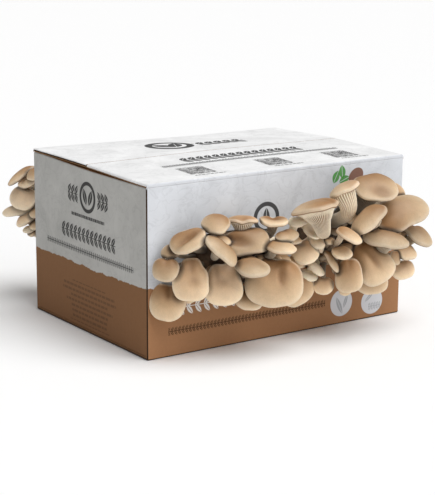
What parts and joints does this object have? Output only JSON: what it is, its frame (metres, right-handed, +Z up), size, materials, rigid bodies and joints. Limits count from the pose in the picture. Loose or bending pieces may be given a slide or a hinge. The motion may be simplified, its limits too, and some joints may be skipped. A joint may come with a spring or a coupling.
{
  "type": "oyster mushroom grow kit",
  "caption": "Printed cardboard grow kit carton with folding top flaps and clusters of oyster mushrooms growing out through openings in its long sides.",
  "frame": {"origin": "middle of the carton's underside", "axes": "+Z up, +X along the carton's length, -Y out of the front long side where the two large clusters grow"},
  "size_m": [0.3519, 0.4354, 0.19],
  "materials": {
    "printed_board": "matt printed corrugated board, pale grey above and brown below",
    "substrate": "pressed straw and sawdust grown through with white threads",
    "base_flesh": "matt pale cream mushroom flesh",
    "cap_flesh": "satin tan caps with pale cream gills and stems"
  },
  "bodies": {
    "kit": {"carton": "printed_board", "substrate_block": "substrate", "front_left_base": "base_flesh", "front_left_mushroom_01": "cap_flesh", "front_left_mushroom_02": "cap_flesh", "front_left_mushroom_03": "cap_flesh", "front_left_mushroom_04": "cap_flesh", "front_left_mushroom_05": "cap_flesh", "front_left_mushroom_06": "cap_flesh", "front_left_mushroom_07": "cap_flesh", "front_left_mushroom_08": "cap_flesh", "front_left_mushroom_09": "cap_flesh", "front_left_mushroom_10": "cap_flesh", "front_left_mushroom_11": "cap_flesh", "front_left_mushroom_12": "cap_flesh", "front_left_mushroom_13": "cap_flesh", "front_left_mushroom_14": "cap_flesh", "front_left_mushroom_15": "cap_flesh", "front_left_mushroom_16": "cap_flesh", "front_left_mushroom_17": "cap_flesh", "front_left_mushroom_18": "cap_flesh", "front_left_mushroom_19": "cap_flesh", "front_left_mushroom_20": "cap_flesh", "front_right_base": "base_flesh", "front_right_mushroom_01": "cap_flesh", "front_right_mushroom_02": "cap_flesh", "front_right_mushroom_03": "cap_flesh", "front_right_mushroom_04": "cap_flesh", "front_right_mushroom_05": "cap_flesh", "front_right_mushroom_06": "cap_flesh", "front_right_mushroom_07": "cap_flesh", "front_right_mushroom_08": "cap_flesh", "front_right_mushroom_09": "cap_flesh", "front_right_mushroom_10": "cap_flesh", "front_right_mushroom_11": "cap_flesh", "front_right_mushroom_12": "cap_flesh", "front_right_mushroom_13": "cap_flesh", "front_right_mushroom_14": "cap_flesh", "front_right_mushroom_15": "cap_flesh", "front_right_mushroom_16": "cap_flesh", "front_right_mushroom_17": "cap_flesh", "front_right_mushroom_18": "cap_flesh", "front_right_mushroom_19": "cap_flesh", "front_right_mushroom_20": "cap_flesh", "front_right_mushroom_21": "cap_flesh", "front_right_mushroom_22": "cap_flesh", "rear_base": "base_flesh", "rear_mushroom_01": "cap_flesh", "rear_mushroom_02": "cap_flesh", "rear_mushroom_03": "cap_flesh", "rear_mushroom_04": "cap_flesh", "rear_mushroom_05": "cap_flesh", "rear_mushroom_06": "cap_flesh", "rear_mushroom_07": "cap_flesh", "rear_mushroom_08": "cap_flesh", "rear_mushroom_09": "cap_flesh", "rear_mushroom_10": "cap_flesh", "rear_mushroom_11": "cap_flesh"},
    "flap_front": {"flap_front": "printed_board"},
    "flap_back": {"flap_back": "printed_board"}
  },
  "joints": [
    {"name": "flap_front_fold", "type": "hinge", "parent": "kit", "child": "flap_front", "pos_m": [0, -0.125, 0.18635], "axis": [1, 0, 0], "range_deg": [0, 150]},
    {"name": "flap_back_fold", "type": "hinge", "parent": "kit", "child": "flap_back", "pos_m": [0, 0.125, 0.18635], "axis": [-1, 0, 0], "range_deg": [0, 150]}
  ]
}
